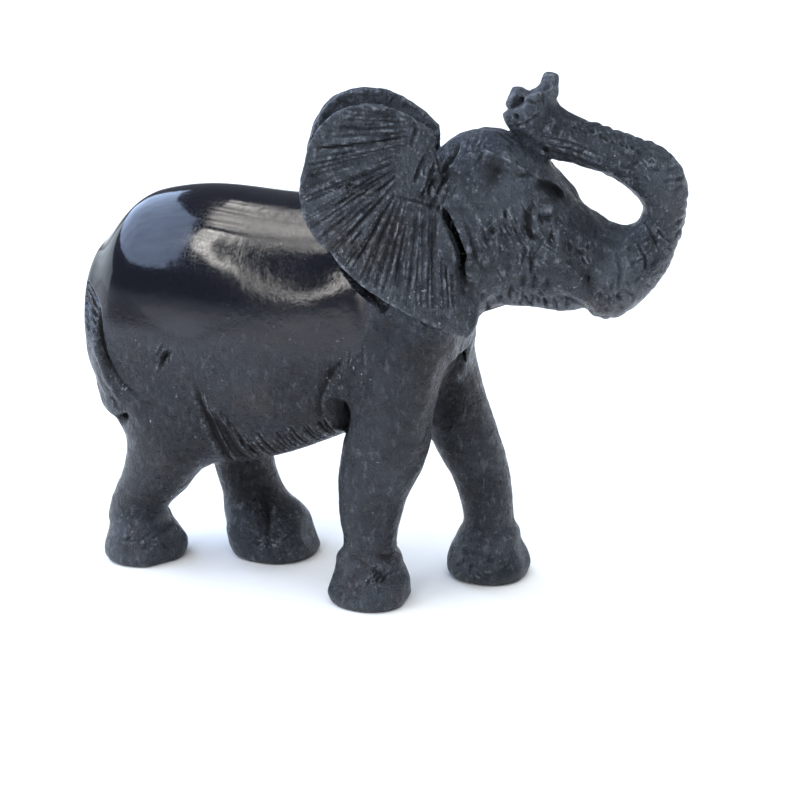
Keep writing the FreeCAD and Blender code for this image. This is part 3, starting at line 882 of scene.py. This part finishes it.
def wood_colour(n, polish, groove_shade, edge, dusty):
    """Blue-black wood with clouds, grain, edges lightened partly by wear and partly as painted highlight,
    scratches, specks of dust, and painted shade in the cuts and hollows.
    """
    cloud = n.ramp(n.noise(70.0, detail=3.0), 0.35, 0.7)
    clean = n.mix(cloud, (0.005, 0.006, 0.009, 1), (0.012, 0.014, 0.018, 1))
    greyed = n.mix(cloud, (0.015, 0.019, 0.026, 1), (0.045, 0.053, 0.067, 1))
    colour = n.mix(dusty, clean, greyed)
    brown = n.ramp(n.noise(38.0, detail=4.0, roughness=0.6), 0.54, 0.7)
    colour = n.tint(colour, brown, 0.6, (0.03, 0.02, 0.017))
    blue = n.ramp(n.noise(45.0, detail=3.0, roughness=0.6), 0.56, 0.7)
    colour = n.tint(colour, blue, 0.5, (0.012, 0.018, 0.03))
    grain = n.ramp(n.noise(420.0, detail=3.0, stretch=(0.12, 1.0, 1.0)), 0.5, 0.75)
    colour = n.tint(colour, grain, 0.4, (0.006, 0.006, 0.008))
    # Edges and crests turned light grey: partly wear, partly painted highlight.
    scuff_and_highlight = n.math("MULTIPLY", n.ramp(n.noise(650.0, detail=4.0, roughness=0.7), 0.45, 0.65), edge)
    colour = n.tint(colour, scuff_and_highlight, 0.8, (0.24, 0.26, 0.29))
    scratches = n.ramp(n.noise(700.0, detail=4.0, roughness=0.75, stretch=(1.0, 1.0, 0.4)), 0.54, 0.68)
    scratched = n.math("MULTIPLY", scratches, n.ramp(dusty, 0.0, 1.0, 0.25, 0.75))
    colour = n.mix(scratched, colour, (0.14, 0.155, 0.18, 1))
    colour = n.mix(polish, colour, (0.004, 0.0044, 0.008, 1))
    # Painted shade: near black where the groove paint is high, in cuts and hollows.
    colour = n.tint(colour, groove_shade, 0.85, (0.003, 0.003, 0.004))
    specks = n.ramp(n.noise(1500.0, detail=1.0), 0.7, 0.76)
    dusty_places = n.ramp(n.noise(110.0, detail=3.0), 0.5, 0.66, 0.03, 1.0)
    carved = n.math("SUBTRACT", 1.0, polish)
    dust = n.math("MULTIPLY", n.math("MULTIPLY", specks, dusty_places), carved)
    return n.tint(colour, dust, 0.8, (0.4, 0.41, 0.43))


def wood_roughness(n, polish, groove_shade, pores):
    """Burnished on the back, satin elsewhere and dull inside the cuts."""
    satin = n.ramp(n.noise(500.0, detail=4.0, roughness=0.7), 0.35, 0.65, 0.2, 0.45)
    burnished = n.ramp(pores, 0.42, 0.62, 0.05, 0.15)
    difference = n.math("SUBTRACT", burnished, satin)
    rough = n.math("ADD", satin, n.math("MULTIPLY", difference, polish))
    return n.math("MAXIMUM", rough, n.ramp(groove_shade, 0.2, 0.8, 0.0, 0.9))


def wood_relief(n, polish, pores):
    """Chips, scrapes and a ripple on the tool-cut wood, and pores that almost fade out on the back."""
    carved = n.math("SUBTRACT", 1.0, polish)
    scrape = n.noise(1500.0, detail=3.0, roughness=0.65, stretch=(1.0, 1.0, 0.3))
    chips = n.noise(420.0, detail=5.0, roughness=0.7, distortion=0.8)
    relief = n.math("ADD", n.math("MULTIPLY", chips, 0.75), n.math("MULTIPLY", scrape, 0.25))
    relief = n.math("MULTIPLY", relief, n.math("POWER", carved, 2.5))
    relief = n.math("ADD", relief, n.math("MULTIPLY", pores, n.ramp(carved, 0.1, 0.7, 0.001, 0.13)))
    ripple = n.noise(600.0, detail=2.0, roughness=0.6)
    return n.math("ADD", relief, n.math("MULTIPLY", ripple, n.ramp(carved, 0.04, 0.2, 0.0, 0.02)))


def dark_wood():
    """Near-black wood: burnished where "polish" is 1, satin and tool-cut elsewhere."""
    n = Nodes("dark_wood")
    polish, groove_shade, edge, dusty = (n.paint(key) for key in ("polish", "groove_shade", "edge", "dusty"))
    pores = n.noise(1900.0, detail=3.0, roughness=0.8)
    n.plug(wood_colour(n, polish, groove_shade, edge, dusty), n.shader.inputs["Base Color"])
    n.plug(wood_roughness(n, polish, groove_shade, pores), n.shader.inputs["Roughness"])
    n.shader.inputs["IOR"].default_value = 1.47
    n.shader.inputs["Specular IOR Level"].default_value = 0.5
    n.plug(n.bump(wood_relief(n, polish, pores), distance=0.0022), n.shader.inputs["Normal"])
    return n.material


def build_figure():
    """Parts the carving into one piece for each CAD node, by where most of each quad's points lie."""
    points, quads, normals, regions, paint = sculpt()
    wood = dark_wood()
    first, second, third, _ = np.sort(regions[quads], axis=1).T
    face_region = np.where(second == third, second, first)
    for index, name in enumerate(CAD_NODES):
        faces = quads[face_region == index]
        if not len(faces):
            print("no surface is left of", name)
            continue
        piece = make_piece("carved_" + name, faces, points, normals, paint)
        piece.data.materials.append(wood)
        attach(piece, "root")
        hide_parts(name)


def white_floor():
    """A sheet of white paper, larger than the camera sees."""
    mesh = bpy.data.meshes.new("floor")
    corners = [(x * FLOOR_REACH, y * FLOOR_REACH, 0) for x, y in ((-1, -1), (1, -1), (1, 1), (-1, 1))]
    mesh.from_pydata(corners, [], [(0, 1, 2, 3)])
    floor = bpy.data.objects.new("floor", mesh)
    bpy.context.scene.collection.objects.link(floor)
    n = Nodes("white_paper")
    fibre = n.noise(60.0, detail=4.0)
    n.plug(n.mix(fibre, (0.86, 0.86, 0.86, 1), (0.9, 0.9, 0.9, 1)), n.shader.inputs["Base Color"])
    n.shader.inputs["Roughness"].default_value = 0.9
    n.shader.inputs["Specular IOR Level"].default_value = 0.1
    mesh.materials.append(n.material)


def direction(bearing, rise):
    """A unit vector from two angles in degrees: round from +X, and up from the floor."""
    b, r = math.radians(bearing), math.radians(rise)
    return Vector((math.cos(b) * math.cos(r), math.sin(b) * math.cos(r), math.sin(r)))


def glow(colour, strength, patchy, patch_scale):
    """A material that only shines, more or less evenly."""
    n = Nodes("glow")
    shine = n.tree.nodes.new("ShaderNodeEmission")
    shine.inputs["Color"].default_value = (*colour, 1)
    patches = n.noise(patch_scale, detail=5.0, roughness=0.7)
    dim, bright = (1 - patchy) * strength, (1 + patchy) * strength
    n.plug(n.ramp(patches, 0.36, 0.64, dim, bright), shine.inputs["Strength"])
    n.tree.links.new(shine.outputs["Emission"], n.tree.nodes["Material Output"].inputs["Surface"])
    return n.material


def light_sheet(name, strips, colour, strength, patchy=0.15, patch_scale=9.0):
    """Glowing sheets that hang where the back reflects them.

    Each strip is a list of corners, as (bearing, rise) seen from the middle of the back.
    """
    corners, faces = [], []
    for strip in strips:
        faces.append(list(range(len(corners), len(corners) + len(strip))))
        corners += [Vector(BACK_MIDDLE) + direction(*corner) * SHEET_DISTANCE for corner in strip]
    mesh = bpy.data.meshes.new(name)
    mesh.from_pydata(corners, [], faces)
    mesh.materials.append(glow(colour, strength, patchy, patch_scale))
    sheet = bpy.data.objects.new(name, mesh)
    bpy.context.scene.collection.objects.link(sheet)


def band(line):
    """The four-cornered strips between neighbouring (bearing, rise, half width) places of a line."""
    strips = []
    for (b0, r0, w0), (b1, r1, w1) in zip(line, line[1:]):
        turn = math.atan2(r1 - r0, (b1 - b0) * math.cos(math.radians((r0 + r1) / 2)))
        across, up = -math.sin(turn), math.cos(turn)
        wide = math.cos(math.radians((r0 + r1) / 2))
        first = [(b0 + across * w0 / wide, r0 + up * w0), (b0 - across * w0 / wide, r0 - up * w0)]
        second = [(b1 - across * w1 / wide, r1 - up * w1), (b1 + across * w1 / wide, r1 + up * w1)]
        strips.append(first + second)
    return strips


def room():
    """Surroundings that are bright at the floor's level and dim above it."""
    world = bpy.data.worlds.new("room")
    world.use_nodes = True
    tree = world.node_tree
    place = tree.nodes.new("ShaderNodeTexCoord").outputs["Generated"]
    split = tree.nodes.new("ShaderNodeSeparateXYZ")
    tree.links.new(place, split.inputs["Vector"])
    height = tree.nodes.new("ShaderNodeMapRange")
    height.interpolation_type = "SMOOTHSTEP"
    for socket, number in zip(height.inputs[1:5], (-0.02, 0.13, 1.0, 0.2)):
        socket.default_value = number
    tree.links.new(split.outputs["Z"], height.inputs["Value"])
    background = tree.nodes["Background"]
    background.inputs["Color"].default_value = (0.82, 0.88, 1.0, 1)
    tree.links.new(height.outputs["Result"], background.inputs["Strength"])
    bpy.context.scene.world = world


def ceiling_light():
    """Wide soft light from straight above, which the wood doesn't reflect as a spot."""
    sun = bpy.data.lights.new("ceiling", "SUN")
    sun.energy, sun.angle = 4.3, math.radians(100.0)
    sun.color = (0.91, 0.96, 1.0)
    ceiling = bpy.data.objects.new("ceiling", sun)
    ceiling.visible_glossy = False
    bpy.context.scene.collection.objects.link(ceiling)


def reflected_lights():
    """What the back reflects: a window and a low card at the rear, a lamp's hood and a ring lamp."""
    window = [(-130, 18), (-131, 28), (-134, 37), (-139, 45), (-158, 57), (164, 53), (128, 30)]
    window += [(137, 9), (172, 19), (-150, 22)]
    light_sheet("window", [window], (0.54, 0.69, 1.0), 4.9)
    hood_top = [(-145, 55), (-172, 63), (150, 62), (128, 53), (131, 57), (150, 67), (-160, 73), (-132, 63)]
    hood_side = [(-137, 58), (-131, 53), (-124, 49), (-117, 47), (-118, 58), (-130, 66)]
    light_sheet("hood", [hood_top, hood_side], LAMP_WHITE, 6.5, patchy=0.9, patch_scale=14.0)
    ring = [(-140, 53, 2.0), (-134, 42, 1.5), (-127, 31, 1.1), (-119, 21, 0.9), (-112, 13, 0.9)]
    ring += [(-106, 9, 1.3), (-100, 11, 1.3), (-91, 17, 2), (-96, 30, 2)]
    light_sheet("ring", band(ring), LAMP_WHITE, 15.0, patchy=0.5, patch_scale=20.0)
    card = [(146, -1), (146, 14), (-166, 9), (-166, -1)]
    light_sheet("card", [card], (0.8, 0.9, 1.0), 2.0)


def camera():
    """Looks from the elephant's right and a little ahead and above, as a hand-held phone does."""
    back = direction(VIEW_BEARING, VIEW_RISE)
    lens = bpy.data.cameras.new("camera")
    lens.sensor_width = SENSOR_WIDTH
    lens.lens = LENS_LENGTH
    view = bpy.data.objects.new("camera", lens)
    view.location = Vector((np.array(VIEW_AIM) + ORIGIN) * MM) + back * VIEW_DISTANCE
    view.rotation_euler = (-back).to_track_quat("-Z", "Y").to_euler()
    bpy.context.scene.collection.objects.link(view)
    bpy.context.scene.camera = view
    bpy.context.scene.view_settings.view_transform = "Standard"


build_figure()
white_floor()
room()
ceiling_light()
reflected_lights()
camera()
